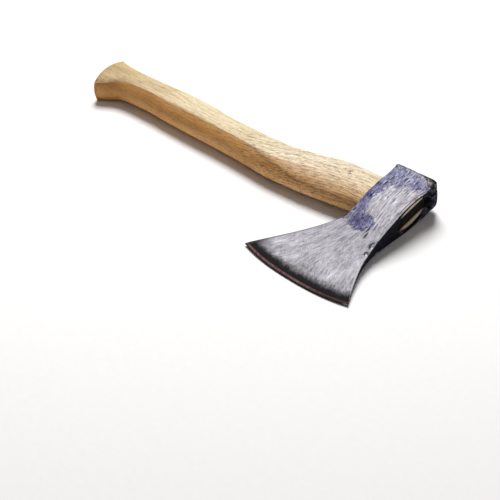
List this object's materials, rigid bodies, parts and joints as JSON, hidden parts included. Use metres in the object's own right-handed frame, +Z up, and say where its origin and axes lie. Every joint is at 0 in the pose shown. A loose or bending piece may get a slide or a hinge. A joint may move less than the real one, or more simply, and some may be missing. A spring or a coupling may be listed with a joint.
{
  "type": "carving hatchet",
  "caption": "Bearded carving hatchet with a forged steel head wedged onto a short curved ash haft that ends in a flared knob.",
  "frame": {"origin": "bottom centre of the hatchet's box as it lies on its side on a table", "axes": "+X along the haft from the knob to the head's top, +Y from the cutting edge to the poll, +Z up out of the upper cheek"},
  "size_m": [0.34, 0.1456, 0.0297],
  "materials": {
    "head_steel": "forged and ground grey steel, scratched, with worn blue paint round the eye and a darkened poll and edge",
    "haft_ash": "light golden ash, smooth sanded and oiled, with dark open pores",
    "wedge_wood": "nearly black end grain"
  },
  "bodies": {
    "root": {"axe_head": "head_steel", "haft": "haft_ash", "eye_wedge": "wedge_wood"}
  },
  "joints": []
}
